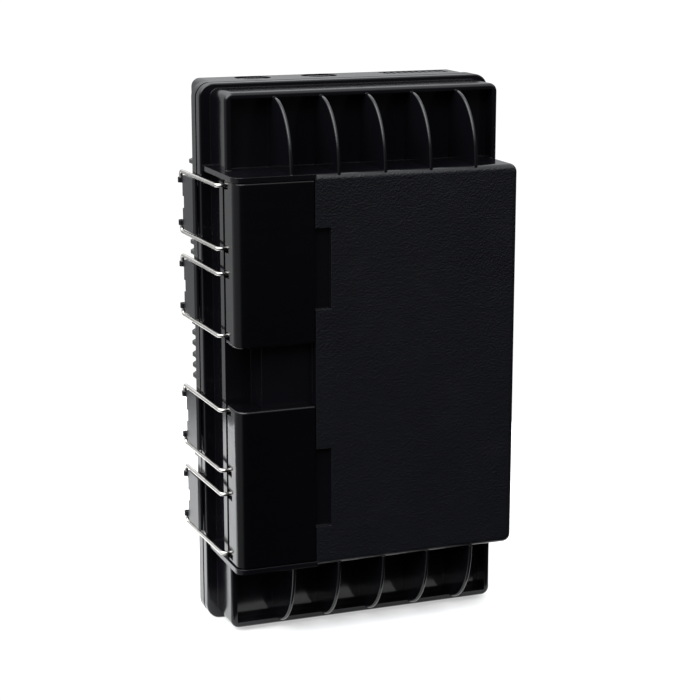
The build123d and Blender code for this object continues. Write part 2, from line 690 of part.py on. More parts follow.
def splice_tray(y, name):
    """A shallow tray that swings on its own pin, with two rounds for spare fibre."""
    left = TRAY_PIN_X - TRAY_W - 8
    right = TRAY_PIN_X - 5
    back = y + TRAY_T / 2
    with BuildPart() as tray:
        with BuildSketch(facing_front(back)):
            with Locations(((left + right) / 2, MID_Z)):
                RectangleRounded(right - left, TRAY_TOP - TRAY_BOTTOM, 14)
        extrude(amount=TRAY_T)
        with BuildSketch(facing_front(back - 1.6)):
            with Locations(((left + right) / 2, MID_Z)):
                RectangleRounded(right - left - 4, TRAY_TOP - TRAY_BOTTOM - 4, 12)
        extrude(amount=TRAY_T, mode=Mode.SUBTRACT)
        with BuildSketch(facing_front(back - 1)):
            with Locations(((left + right) / 2, MID_Z)):
                with GridLocations(0, 104, 1, 2):
                    Circle(28)
                    Circle(26.4, mode=Mode.SUBTRACT)
        extrude(amount=6)
        for z in (TRAY_BOTTOM + 22, TRAY_TOP - 22):
            with BuildSketch(Plane.XY.offset(z - 10)):
                with Locations((TRAY_PIN_X, y)):
                    Circle(TRAY_PIN_R + 1.9)
                with Locations((TRAY_PIN_X - 3.6, y + 1.5)):
                    Rectangle(7.2, 3)
                with Locations((TRAY_PIN_X, y)):
                    Circle(TRAY_PIN_R + FIT, mode=Mode.SUBTRACT)
            extrude(amount=20)
    save(tray.part, name)


def splice_holder(y, name):
    """Comb block in the middle of a tray that grips the splice sleeves."""
    middle = TRAY_PIN_X - 7 - TRAY_W / 2
    back = y + TRAY_T / 2 - 1.6
    with BuildPart() as holder:
        block((middle - 24, middle + 24), (back - 1.2, back), (MID_Z - 18, MID_Z + 18))
        for step in range(7):
            x = middle - 22.4 + 7 * step
            block((x, x + 1.8), (back - 5, back - 1), (MID_Z - 18, MID_Z + 18))
    save(holder.part, name)


for number, y in enumerate(TRAY_YS, 1):
    splice_tray(y, f"splice_tray_{number}")
    splice_holder(y, f"splice_holder_{number}")

with BuildPart() as tray_lid:
    left, right = TRAY_PIN_X - TRAY_W - 8, TRAY_PIN_X - 7
    with BuildSketch(facing_front(TRAY_YS[-1] - TRAY_T / 2)):
        with Locations(((left + right) / 2, MID_Z)):
            RectangleRounded(right - left - 1, TRAY_TOP - TRAY_BOTTOM - 2, 13)
    extrude(amount=1.5)
save(tray_lid.part, "tray_lid")

# --- Adapter panel ------------------------------------------------------------------------
ADAPTER_Y = PLATE_Y - 17
ADAPTER_X = [(step - (ADAPTERS - 1) / 2) * ADAPTER_PITCH for step in range(ADAPTERS)]
PANEL_HALF = ADAPTERS * ADAPTER_PITCH / 2 + 6
with BuildPart() as adapter_panel:
    block((-PANEL_HALF, PANEL_HALF), (PLATE_Y - 30, PLATE_Y), (ADAPTER_Z, ADAPTER_Z + 1.6))
    block((-PANEL_HALF, PANEL_HALF), (PLATE_Y - 1.6, PLATE_Y), (ADAPTER_Z - 18, ADAPTER_Z + 1))
    with BuildSketch(Plane.XY.offset(ADAPTER_Z)):
        with Locations(*[(x, ADAPTER_Y) for x in ADAPTER_X]):
            Rectangle(9.2, 13.2)
    extrude(amount=1.6, mode=Mode.SUBTRACT)
save(adapter_panel.part, "adapter_panel")

with BuildPart() as adapters:
    for x in ADAPTER_X:
        block((x - 4.5, x + 4.5), (ADAPTER_Y - 6.5, ADAPTER_Y + 6.5), (ADAPTER_Z - 13, ADAPTER_Z + 14))
        collar = (ADAPTER_Z + 1.7, ADAPTER_Z + 3.2)
        block((x - 5.5, x + 5.5), (ADAPTER_Y - 8.5, ADAPTER_Y + 8.5), collar)
    with BuildSketch(Plane.XY.offset(ADAPTER_Z - 13)):
        with Locations(*[(x, ADAPTER_Y) for x in ADAPTER_X]):
            Rectangle(7, 9)
    extrude(amount=10, mode=Mode.SUBTRACT)
save(adapters.part, "fibre_adapters")

with BuildPart() as dust_caps:
    for x in ADAPTER_X:
        block((x - 3.4, x + 3.4), (ADAPTER_Y - 4.4, ADAPTER_Y + 4.4), (ADAPTER_Z - 22, ADAPTER_Z - 3.1))
save(dust_caps.part, "adapter_dust_caps")
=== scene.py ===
"""Cable splice enclosure: finishes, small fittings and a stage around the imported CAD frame.

All lengths are metres. +Z runs up the long side, the cover faces -Y and the latches are on -X.
"""

import math

import bmesh
import bpy
from mathutils import Matrix, Vector


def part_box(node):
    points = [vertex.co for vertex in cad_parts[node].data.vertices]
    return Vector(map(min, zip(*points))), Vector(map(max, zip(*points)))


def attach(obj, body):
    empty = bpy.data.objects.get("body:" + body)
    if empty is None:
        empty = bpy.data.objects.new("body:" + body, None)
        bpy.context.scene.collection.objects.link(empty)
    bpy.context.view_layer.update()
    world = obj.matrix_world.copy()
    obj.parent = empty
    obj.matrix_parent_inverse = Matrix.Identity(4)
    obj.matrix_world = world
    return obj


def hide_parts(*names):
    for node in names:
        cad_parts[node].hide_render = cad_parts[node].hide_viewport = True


bl_info = {
    "name": "Splice enclosure",
    "version": (1, 0, 0),
    "blender": (4, 5, 0),
    "location": "3D View > Sidebar > Enclosure",
    "description": "Finishes, fittings and stage for a two-shell cable splice enclosure",
    "category": "Object",
}

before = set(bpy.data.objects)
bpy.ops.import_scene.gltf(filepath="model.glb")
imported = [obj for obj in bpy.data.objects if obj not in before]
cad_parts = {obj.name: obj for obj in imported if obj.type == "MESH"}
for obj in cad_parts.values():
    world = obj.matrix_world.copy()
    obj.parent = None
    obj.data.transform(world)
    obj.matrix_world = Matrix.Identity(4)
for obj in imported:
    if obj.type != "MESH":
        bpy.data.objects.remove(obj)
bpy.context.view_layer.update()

MM = 0.001
COVER_LOW, COVER_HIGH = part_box("front_cover")
GUARD_LOW, GUARD_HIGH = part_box("upper_latch_guard")
MID_Z = (COVER_LOW.z + COVER_HIGH.z) / 2
PANEL_LEFT = GUARD_HIGH.x + 0.8 * MM  # the guards stop just short of the grained panel
PANEL_HALF = 158 * MM
PANEL_FRONT = COVER_LOW.y

# Finishes
SHEEN = 0.32  # specular level of every moulding
LEATHER_CELL, LEATHER_FINE, LEATHER_COARSE = 1.5 * MM, 0.8 * MM, 3.2 * MM
LEATHER_RELIEF = 0.32
BEVEL_SAMPLES = 4

# Meshes
MERGE_DISTANCE = 1e-6
CORNER_STEPS = 3  # straight steps in each rounded corner of a stack

# Sealing ring
SEAL_INSET = 2.4 * MM  # from the ring's outside to the middle of its bead
SEAL_CORNER = 6 * MM
LIP_SHARE = 0.5  # the lip's radius against the bead's
BEAD_STEPS = 10

# Screws
HEAD_HEIGHT = 2.3 * MM
HEAD_SEAT = 2.4 * MM  # from the front of a head to the face it rests on
HEAD_STEPS = 28
RECESS_WIDTH, RECESS_DEPTH = 0.9 * MM, 2.2 * MM
PLATE_SHANK, PLATE_LENGTH = 1.85 * MM, 5.9 * MM
CLAMP_SHANK, CLAMP_LENGTH = 1.55 * MM, 4.4 * MM
CLAMP_REACH = 16 * MM  # from a clamp's middle to each of its screws

# Wall inserts
INSERT_OUTER, INSERT_BORE, INSERT_EDGE = 3.98 * MM, 2.5 * MM, 4.0 * MM
INSERT_GROOVE = 0.5 * MM
INSERT_BANDS = ((0.22, INSERT_GROOVE), (0.3, 0), (0.52, 0), (0.6, INSERT_GROOVE))
KNURL_STEPS, KNURL_DEPTH = 48, 0.12 * MM

# Splice sleeves
SLEEVE_PITCH, SLEEVE_FIRST = 7 * MM, 18 * MM
SLEEVE_LIFT = 1.3 * MM  # from the holder's back to the sleeves
SLEEVE_END = 1.5 * MM
SLEEVE_STEPS = 16

# Dust caps, in millimetres
CAP_HALF_WIDTH = 3.4
CAP_RIBS, CAP_RIB_START, CAP_RIB_PITCH = 4, 1.6, 2.2
CAP_RIB_PROFILE = ((0, 0.0), (0.9, 0.0), (1.1, 0.5), (1.9, 0.5))  # lift, inset
CAP_CORNER = 0.8

# Stage
FLOOR_RADIUS, FLOOR_CENTRE, FLOOR_STEPS = 0.42, (0, 0.345, 0), 96
FLOOR_GLOW = 0.45
LAMP_SIZE, LAMP_POWER = 3.0, 12
LAMP_PLACE, LAMP_TILT = (-0.4, 1.2, 2.2), math.radians(-12)
SENSOR_WIDTH = 36.0
SIDE_GLOW, ABOVE_GLOW, SOFTBOX_GLOW = 0.46, 1.5, 6.0
FRONT_GLOW, LEAST_GLOW = 0.12, 0.012
BACKDROP_GLOW = 1.05
ROOM_TINT = (0.97, 0.985, 1.0, 1)


# --- Node building ------------------------------------------------------------------------
def add_node(tree, kind, settings=None, inputs=None):
    """Adds a node: its settings are set first, then its sockets, by name, index or identifier."""
    node = tree.nodes.new(kind)
    for name, value in (settings or {}).items():
        setattr(node, name, value)
    for key, value in (inputs or {}).items():
        socket = node.inputs[key]
        if isinstance(value, Value):
            tree.links.new(value.socket, socket)
        elif isinstance(value, bpy.types.NodeSocket):
            tree.links.new(value, socket)
        else:
            socket.default_value = value
    return node


class Value:
    """A number socket of a shader tree that takes +, - and * with numbers and other sockets."""

    def __init__(self, tree, socket):
        self.tree, self.socket = tree, socket

    def maths(self, operation, first, second):
        inputs = {0: first, 1: second}
        node = add_node(self.tree, "ShaderNodeMath", {"operation": operation}, inputs)
        return Value(self.tree, node.outputs[0])

    def __add__(self, other):
        return self.maths("ADD", self, other)

    __radd__ = __add__

    def __sub__(self, other):
        return self.maths("SUBTRACT", self, other)

    def __rsub__(self, other):
        return self.maths("SUBTRACT", other, self)

    def __mul__(self, other):
        return self.maths("MULTIPLY", self, other)

    __rmul__ = __mul__

    def ramp(self, low, high):
        """0 at low, 1 at high, smooth in between."""
        node = add_node(
            self.tree,
            "ShaderNodeMapRange",
            {"interpolation_type": "SMOOTHSTEP"},
            {"Value": self, "From Min": low, "From Max": high},
        )
        return Value(self.tree, node.outputs["Result"])


class Finish:
    """One material under construction, on object coordinates."""

    def __init__(self, name):
        self.material = bpy.data.materials.new(name)
        self.material.use_nodes = True
        self.tree = self.material.node_tree
        self.tree.nodes.clear()
        self.place = self.node("ShaderNodeTexCoord").outputs["Object"]
        parts = self.node("ShaderNodeSeparateXYZ", inputs={0: self.place})
        self.x, self.y, self.z = (Value(self.tree, s) for s in parts.outputs)

    def node(self, kind, settings=None, inputs=None):
        return add_node(self.tree, kind, settings, inputs)

    def noise(self, size, stretch=(1, 1, 1), detail=3.0):
        """Noise whose features are about as wide as size, stretched along the axes."""
        mapped = self.node(
            "ShaderNodeMapping",
            inputs={"Vector": self.place, "Scale": [1 / (size * s) for s in stretch]},
        )
        made = self.node(
            "ShaderNodeTexNoise",
            inputs={"Vector": mapped.outputs[0], "Scale": 1.0, "Detail": detail},
        )
        return Value(self.tree, made.outputs[0])

    def cells(self, size):
        made = self.node(
            "ShaderNodeTexVoronoi",
            {"feature": "SMOOTH_F1"},
            {"Vector": self.place, "Scale": 1 / size, "Smoothness": 0.6},
        )
        return Value(self.tree, made.outputs["Distance"])

    def blend(self, factor, low, high):
        mix = self.node(
            "ShaderNodeMix", {"data_type": "RGBA"}, {"Factor": factor, 6: rgba(low), 7: rgba(high)}
        )
        return mix.outputs[2]

    def bump(self, height, edge=0.0):
        """Relief, its height in millimetres; a soft edge rounds the sharp corners below it."""
        inputs = {"Height": height, "Distance": MM, "Strength": 1.0}
        if edge:
            bevel = self.node("ShaderNodeBevel", {"samples": BEVEL_SAMPLES}, {"Radius": edge})
            inputs["Normal"] = bevel.outputs[0]
        return self.node("ShaderNodeBump", inputs=inputs).outputs[0]

    def surface(self, **inputs):
        named = {key.replace("_", " "): value for key, value in inputs.items()}
        shader = self.node("ShaderNodeBsdfPrincipled", inputs=named)
        self.node("ShaderNodeOutputMaterial", inputs={"Surface": shader.outputs[0]})
        return self.material


def rgba(colour):
    return colour if isinstance(colour, bpy.types.NodeSocket) else (*colour[:3], 1.0)


def shade(colour, factor):
    return [channel * factor for channel in colour[:3]]


# --- Finishes -----------------------------------------------------------------------------
def moulded(name, colour, roughness, depth=0.004 * MM, wave=0.0, edge=0.6 * MM):
    """Moulded plastic: flow marks, fine grain of the given depth, and slow sink waves."""
    f = Finish(name)
    flow = f.noise(40 * MM, (1, 1, 2.2), 4)
    fine = f.noise(1.2 * MM)
    scuff = f.noise(3 * MM, (1, 1, 9), 2).ramp(0.62, 0.78)
    colours = f.blend(flow, shade(colour, 0.8), shade(colour, 1.25))
    height = fine * (depth / MM) + f.noise(16 * MM, (1.6, 1.6, 0.7), 1) * (wave / MM)
    return f.surface(
        Base_Color=colours,
        Roughness=flow * 0.05 + scuff * 0.04 + roughness,
        Normal=f.bump(height, edge=edge),
        Specular_IOR_Level=SHEEN,
    )


def cover_finish(name, colour, grained, gloss, matt):
    """Glossy rims and ends, with a leather grain on the raised front panel only."""
    f = Finish(name)
    left = f.x.ramp(PANEL_LEFT - 0.2 * MM, PANEL_LEFT + 0.4 * MM)
    front = 1 - f.y.ramp(PANEL_FRONT + 0.2 * MM, PANEL_FRONT + 3.5 * MM)
    low = f.z.ramp(MID_Z - PANEL_HALF - 2 * MM, MID_Z - PANEL_HALF + 2 * MM)
    high = 1 - f.z.ramp(MID_Z + PANEL_HALF - 2 * MM, MID_Z + PANEL_HALF + 2 * MM)
    panel = left * front * low * high
    flow = f.noise(45 * MM, (1, 1, 1.8), 4)
    leather = f.cells(LEATHER_CELL) + f.noise(LEATHER_FINE) * 0.5 + f.noise(LEATHER_COARSE) * 0.4
    plain = f.noise(1.0 * MM) * 0.004 + f.noise(22 * MM, (1, 1, 0.8), 1) * 0.12
    black = f.blend(flow, shade(colour, 0.75), shade(colour, 1.3))
    grey = f.blend(leather * flow, shade(grained, 0.8), shade(grained, 1.4))
    rub = f.noise(26 * MM, detail=5).ramp(0.55, 0.75)
    return f.surface(
        Base_Color=f.blend(panel, black, grey),
        Roughness=panel * (matt - gloss) + flow * 0.05 + rub * 0.03 + gloss,
        Normal=f.bump(plain + panel * leather * LEATHER_RELIEF, edge=0.7 * MM),
        Specular_IOR_Level=SHEEN,
    )


def metal(name, colour, roughness, along=(1, 1, 14)):
    """Drawn or rolled metal: lines along one axis and a faint cloudiness."""
    f = Finish(name)
    lines = f.noise(0.5 * MM, along, 2)
    cloud = f.noise(9 * MM, detail=4)
    return f.surface(
        Base_Color=f.blend(cloud, shade(colour, 0.82), shade(colour, 1.08)),
        Metallic=1.0,
        Roughness=lines * 0.12 + cloud * 0.08 + roughness,
        Normal=f.bump(lines * 0.004),
    )


def zinc(name, colour):
    """Zinc plate with its crystal patches."""
    f = Finish(name)
    patch = f.cells(7 * MM)
    cloud = f.noise(3 * MM, detail=5)
    return f.surface(
        Base_Color=f.blend(patch * 0.7 + cloud * 0.4, shade(colour, 0.75), shade(colour, 1.1)),
        Metallic=1.0,
        Roughness=patch * 0.2 + cloud * 0.15 + 0.24,
        Normal=f.bump(cloud * 0.01),
    )


def rubber(name, colour, roughness=0.6):
    f = Finish(name)
    fine = f.noise(0.5 * MM)
    dust = f.noise(7 * MM, detail=5).ramp(0.5, 0.8)
    return f.surface(
        Base_Color=f.blend(dust, colour, [channel + 0.02 for channel in colour[:3]]),
        Roughness=dust * 0.12 + roughness,
        Normal=f.bump(fine * 0.02, edge=0.4 * MM),
    )


def clear_sheet(name, colour):
    """Clear plastic sheet with faint haze."""
    f = Finish(name)
    haze = f.noise(12 * MM, detail=4)
    return f.surface(
        Base_Color=f.blend(haze, shade(colour, 0.95), colour),
        Roughness=haze * 0.08 + 0.06,
        Alpha=haze * 0.08 + 0.2,
        Normal=f.bump(haze * 0.05),
    )


def give(node_names, material):
    """Puts a finish on CAD nodes."""
    for name in node_names:
        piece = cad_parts.get(name)
        if piece is None:
            raise RuntimeError(f"no CAD node named {name}")
        if not piece.material_slots:
            piece.data.materials.append(material)
        for place in piece.material_slots:
            place.material = material


def numbered(stem, count):
    return [f"{stem}_{number}" for number in range(1, count + 1)]


# --- Mesh helpers -------------------------------------------------------------------------
def new_mesh(name, bm):
    """Merges and orients the bmesh, and returns it as a mesh."""
    bmesh.ops.remove_doubles(bm, verts=bm.verts, dist=MERGE_DISTANCE)
    bmesh.ops.recalc_face_normals(bm, faces=bm.faces)
    mesh = bpy.data.meshes.new(name)
    bm.to_mesh(mesh)
    bm.free()
    return mesh


def new_object(name, mesh):
    made = bpy.data.objects.new(name, mesh)
    bpy.context.scene.collection.objects.link(made)
    return made


def lathe(name, profile, segments, flute=0.0, axis="Y"):
    """Turns (radius, height) points round an axis; flute moves every other column inwards."""
    bm = bmesh.new()
    rings = []
    for radius, height in profile:
        ring = []
        for step in range(segments):
            turn = 2 * math.pi * step / segments
            r = radius - (flute if step % 2 and radius else 0)
            a, b = r * math.cos(turn), r * math.sin(turn)
            ring.append(bm.verts.new((a, -height, b) if axis == "Y" else (a, b, height)))
        rings.append(ring)
    for one, two in zip(rings, rings[1:] + rings[:1]):
        for step in range(segments):
            after = (step + 1) % segments
            bm.faces.new((one[step], one[after], two[after], two[step]))
    bmesh.ops.dissolve_degenerate(bm, dist=1e-7, edges=bm.edges)
    return new_mesh(name, bm)


def rounded_stack(name, sections, corner):
    """A closed body through rounded rectangles, each given as (height, half x, half y)."""
    bm = bmesh.new()
    rings = []
    for height, half_x, half_y in sections:
        ring = []
        for quarter, (sx, sy) in enumerate(((1, 1), (-1, 1), (-1, -1), (1, -1))):
            for step in range(CORNER_STEPS + 1):
                turn = math.pi / 2 * (quarter + step / CORNER_STEPS)
                x = sx * (half_x - corner) + corner * math.cos(turn)
                y = sy * (half_y - corner) + corner * math.sin(turn)
                ring.append(bm.verts.new((x, y, height)))
        rings.append(ring)
    for one, two in zip(rings, rings[1:]):
        for step in range(len(one)):
            after = (step + 1) % len(one)
            bm.faces.new((one[step], one[after], two[after], two[step]))
    bm.faces.new(rings[0])
    bm.faces.new(rings[-1])
    return new_mesh(name, bm)


# --- Geometry Nodes -----------------------------------------------------------------------
FLOAT, VECTOR, WHOLE = "NodeSocketFloat", "NodeSocketVector", "NodeSocketInt"
THING, FINISH, SHAPE = "NodeSocketObject", "NodeSocketMaterial", "NodeSocketGeometry"


class Recipe:
    """A Geometry Nodes tree with named inputs, ending in Realize Instances and Set Material."""

    def __init__(self, name, inputs):
        self.tree = bpy.data.node_groups.new(name, "GeometryNodeTree")
        face = self.tree.interface
        self.identifiers = {}
        for label, kind in (("Geometry", SHAPE), *inputs, ("Finish", FINISH)):
            socket = face.new_socket(label, in_out="INPUT", socket_type=kind)
            self.identifiers[label] = socket.identifier
        face.new_socket("Geometry", in_out="OUTPUT", socket_type=SHAPE)
        self.given = self.tree.nodes.new("NodeGroupInput").outputs

    def node(self, kind, settings=None, inputs=None):
        return add_node(self.tree, kind, settings, inputs)

    def end(self, geometry):
        real = self.node("GeometryNodeRealizeInstances", inputs={0: geometry})
        done = self.node(
            "GeometryNodeSetMaterial", inputs={0: real.outputs[0], "Material": self.given["Finish"]}
        )
        self.node("NodeGroupOutput", inputs={0: done.outputs[0]})

    def make(self, name, base, body, slot, replaced=(), **values):
        """Runs the tree on a base mesh and keeps the result as a plain piece on a body."""
        carrier = new_object(name + "_carrier", base)
        modifier = carrier.modifiers.new("recipe", "NODES")
        modifier.node_group = self.tree
        for label, value in values.items():
            modifier[self.identifiers[label.replace("_", " ")]] = value
        bpy.context.view_layer.update()
        graph = bpy.context.evaluated_depsgraph_get()
        mesh = bpy.data.meshes.new_from_object(carrier.evaluated_get(graph))
        if not mesh.polygons:
            raise RuntimeError(f"{name} came out empty")
        mesh.name = name
        carrier.modifiers.remove(modifier)
        bpy.data.objects.remove(carrier)
        piece = new_object(name, mesh)
        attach(piece, body)
        if replaced:
            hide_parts(*replaced)
        return piece


def points_mesh(name, places):
    mesh = bpy.data.meshes.new(name)
    mesh.from_pydata([tuple(place) for place in places], [], [])
    return mesh


def on_points():
    """One copy of a template on each vertex, each turned by a seeded random angle."""
    recipe = Recipe(
        "fittings_on_points",
        [("Template", THING), ("Axis", VECTOR), ("Spin", FLOAT), ("Seed", WHOLE)],
    )
    given = recipe.given
    shape = recipe.node("GeometryNodeObjectInfo", inputs={"Object": given["Template"]})
    points = recipe.node("GeometryNodeMeshToPoints", inputs={"Mesh": given["Geometry"]})
    spin = recipe.node(
        "FunctionNodeRandomValue",
        {"data_type": "FLOAT"},
        {2: 0.0, 3: given["Spin"], "Seed": given["Seed"]},
    )
    turn = recipe.node(
        "FunctionNodeAxisAngleToRotation", inputs={"Axis": given["Axis"], "Angle": spin.outputs[1]}
    )
    copies = recipe.node(
        "GeometryNodeInstanceOnPoints",
        inputs={
            "Points": points.outputs[0],
            "Instance": shape.outputs["Geometry"],
            "Rotation": turn.outputs[0],
        },
    )
    recipe.end(copies.outputs[0])
    return recipe


def in_row():
    """A row of copies of a template, a pitch apart along X from the start point."""
    recipe = Recipe(
        "fittings_in_row",
        [("Template", THING), ("Count", WHOLE), ("Pitch", FLOAT), ("Start", VECTOR)],
    )
    given = recipe.given
    shape = recipe.node("GeometryNodeObjectInfo", inputs={"Object": given["Template"]})
    step = recipe.node("ShaderNodeCombineXYZ", inputs={"X": given["Pitch"]})
    line = recipe.node(
        "GeometryNodeMeshLine",
        {"mode": "OFFSET"},
        {"Count": given["Count"], "Start Location": given["Start"], "Offset": step.outputs[0]},
    )
    copies = recipe.node(
        "GeometryNodeInstanceOnPoints",
        inputs={"Points": line.outputs[0], "Instance": shape.outputs["Geometry"]},
    )
    recipe.end(copies.outputs[0])
    return recipe


def seal_ring():
    """A rounded-rectangle ring with a wide base bead and a slimmer lip on it."""
    recipe = Recipe(
        "seal_ring",
        [
            ("Width", FLOAT),
            ("Height", FLOAT),
            ("Corner", FLOAT),
            ("Bead", FLOAT),
            ("Lip", FLOAT),
            ("Base Place", VECTOR),
            ("Lip Place", VECTOR),
        ],
    )
    given = recipe.given
    outline = recipe.node(
        "GeometryNodeCurvePrimitiveQuadrilateral",
        {"mode": "RECTANGLE"},
        {"Width": given["Width"], "Height": given["Height"]},
    )
    path = recipe.node(
        "GeometryNodeFilletCurve",
        {"mode": "POLY"},
        {"Curve": outline.outputs[0], "Radius": given["Corner"], "Count": 8},
    )
    beads = []
    for size, place in (("Bead", "Base Place"), ("Lip", "Lip Place")):
        section = recipe.node(
            "GeometryNodeCurvePrimitiveCircle",
            {"mode": "RADIUS"},
            {"Resolution": BEAD_STEPS, "Radius": given[size]},
        )
        bead = recipe.node(
            "GeometryNodeCurveToMesh",
            inputs={"Curve": path.outputs[0], "Profile Curve": section.outputs[0]},
        )
        laid = recipe.node(
            "GeometryNodeTransform",
            inputs={
                "Geometry": bead.outputs[0],
                "Translation": given[place],
                "Rotation": (math.pi / 2, 0, 0),
            },
        )
        beads.append(laid.outputs[0])
    both = recipe.node("GeometryNodeJoinGeometry")
    for bead in beads:
        recipe.tree.links.new(bead, both.inputs[0])
    recipe.end(both.outputs[0])
    return recipe


# --- Settings -----------------------------------------------------------------------------
class EnclosureFinishes(bpy.types.PropertyGroup):
    """Colours and gloss of the mouldings."""

    black: bpy.props.FloatVectorProperty(
        name="Moulding black",
        description="Colour of the two shells",
        subtype="COLOR",
        size=3,
        default=(0.0026, 0.0026, 0.0036),
    )
    panel: bpy.props.FloatVectorProperty(
        name="Panel",
        description="Colour of the grained front panel",
        subtype="COLOR",
        size=3,
        default=(0.0011, 0.0013, 0.0029),
    )
    gloss: bpy.props.FloatProperty(
        name="Gloss roughness",
        description="Roughness of the smooth mouldings",
        subtype="FACTOR",
        min=0,
        max=1,
        default=0.1,
    )
    matt: bpy.props.FloatProperty(
        name="Panel roughness",
        description="Roughness of the grained panel",
        subtype="FACTOR",
        min=0,
        max=1,
        default=0.44,
    )


class EnclosureFittings(bpy.types.PropertyGroup):
    """Sizes of the small fittings."""

    plate_head: bpy.props.FloatProperty(
        name="Plate screw head",
        description="Head radius of the mounting plate's screws",
        unit="LENGTH",
        default=4.0 * MM,
    )
    clamp_head: bpy.props.FloatProperty(
        name="Clamp screw head",
        description="Head radius of the cable clamps' screws",
        unit="LENGTH",
        default=2.6 * MM,
    )
    sleeve_radius: bpy.props.FloatProperty(
        name="Sleeve radius",
        description="Radius of one fibre splice sleeve",
        unit="LENGTH",
        default=1.35 * MM,
    )
    sleeve_length: bpy.props.FloatProperty(
        name="Sleeve length",
        description="Length of one fibre splice sleeve",
        unit="LENGTH",
        default=40 * MM,
    )
    sleeves: bpy.props.IntProperty(
        name="Sleeves", description="Splice sleeves in each holder", min=1, max=6, default=6
    )
    cap_pitch: bpy.props.FloatProperty(
        name="Cap pitch",
        description="Distance between neighbouring dust caps",
        unit="LENGTH",
        default=17 * MM,
    )


class EnclosureStage(bpy.types.PropertyGroup):
    """Camera and light."""

    azimuth: bpy.props.FloatProperty(
        name="Azimuth",
        description="Camera angle round the enclosure",
        subtype="ANGLE",
        default=math.radians(-21.0),
    )
    elevation: bpy.props.FloatProperty(
        name="Elevation",
        description="Camera angle above the horizon",
        subtype="ANGLE",
        default=math.radians(13.07),
    )
    distance: bpy.props.FloatProperty(
        name="Distance", description="Camera to its target", unit="LENGTH", default=1.629
    )
    lens: bpy.props.FloatProperty(
        name="Lens", description="Focal length in millimetres", min=10, max=300, default=100.9
    )
    target: bpy.props.FloatVectorProperty(
        name="Target",
        description="Point that the camera looks at",
        subtype="XYZ",
        size=3,
        default=(-0.0052, -0.0068, 0.2277),
    )
    glow: bpy.props.FloatProperty(
        name="Surroundings", description="Brightness of the bright side of the room", default=1.0
    )


# --- Operators ----------------------------------------------------------------------------
class Step(bpy.types.Operator):
    """Common part of the building steps."""

    bl_idname = "enclosure.step"
    bl_label = "Step"
    bl_options = {"REGISTER"}

    def execute(self, context):
        self.build(context.scene)
        return {"FINISHED"}

    def build(self, scene):
        raise RuntimeError("this step builds nothing")


class FinishShells(Step):
    """Finish the front cover and the rear shell"""

    bl_idname = "enclosure.finish_shells"
    bl_label = "Shells"

    def build(self, scene):
        looks = scene.enclosure_finishes
        cover = cover_finish("cover_black", looks.black, looks.panel, looks.gloss, looks.matt)
        give(["front_cover"], cover)
        shell = moulded("shell_gloss", shade(looks.black, 1.1), looks.gloss + 0.03, wave=0.05 * MM)
        give(["rear_shell"], shell)


class FinishGuards(Step):
    """Finish the two glossy latch guards"""

    bl_idname = "enclosure.finish_guards"
    bl_label = "Latch guards"

    def build(self, scene):
        black = shade(scene.enclosure_finishes.black, 0.5)
        gloss = moulded("guard_gloss", black, 0.07, depth=0.001 * MM, wave=0.2 * MM, edge=0.9 * MM)
        give(["upper_latch_guard", "lower_latch_guard"], gloss)


class FinishLatches(Step):
    """Finish the wire loops, their levers and the hinge pins"""

    bl_idname = "enclosure.finish_latches"
    bl_label = "Latches and hinge"

    def build(self, scene):
        give(numbered("bail_wire", 4), metal("steel_wire", (0.66, 0.64, 0.61), 0.16))
        black = shade(scene.enclosure_finishes.black, 1.6)
        give(numbered("latch_lever", 4), moulded("lever_black", black, 0.26, depth=0.01 * MM))
        pins = metal("pin_steel", (0.62, 0.62, 0.62), 0.22, along=(1, 1, 9))
        give(["upper_hinge_pin", "lower_hinge_pin", "tray_pins"], pins)


class FinishSeals(Step):
    """Finish the port grommets and the cable comb, and lay the lipped seal in its groove"""

    bl_idname = "enclosure.finish_seals"
    bl_label = "Seals"

    def build(self, scene):
        black = rubber("seal_rubber", (0.012, 0.012, 0.013))
        give(["left_port_grommet", "right_port_grommet", "drop_cable_comb"], black)
        low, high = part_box("perimeter_gasket")
        bead = (high.y - low.y) / 2
        ring = seal_ring()
        centre = Vector(((low.x + high.x) / 2, 0, (low.z + high.z) / 2))
        ring.make(
            "sealing_ring",
            points_mesh("seal_base", [centre]),
            "shell",
            "seal_rubber",
            ["perimeter_gasket"],
            Width=high.x - low.x - 2 * SEAL_INSET,
            Height=high.z - low.z - 2 * SEAL_INSET,
            Corner=SEAL_CORNER,
            Bead=bead,
            Lip=bead * LIP_SHARE,
            Base_Place=centre + Vector((0, high.y - bead, 0)),
            Lip_Place=centre + Vector((0, low.y + bead * LIP_SHARE, 0)),
            Finish=black,
        )


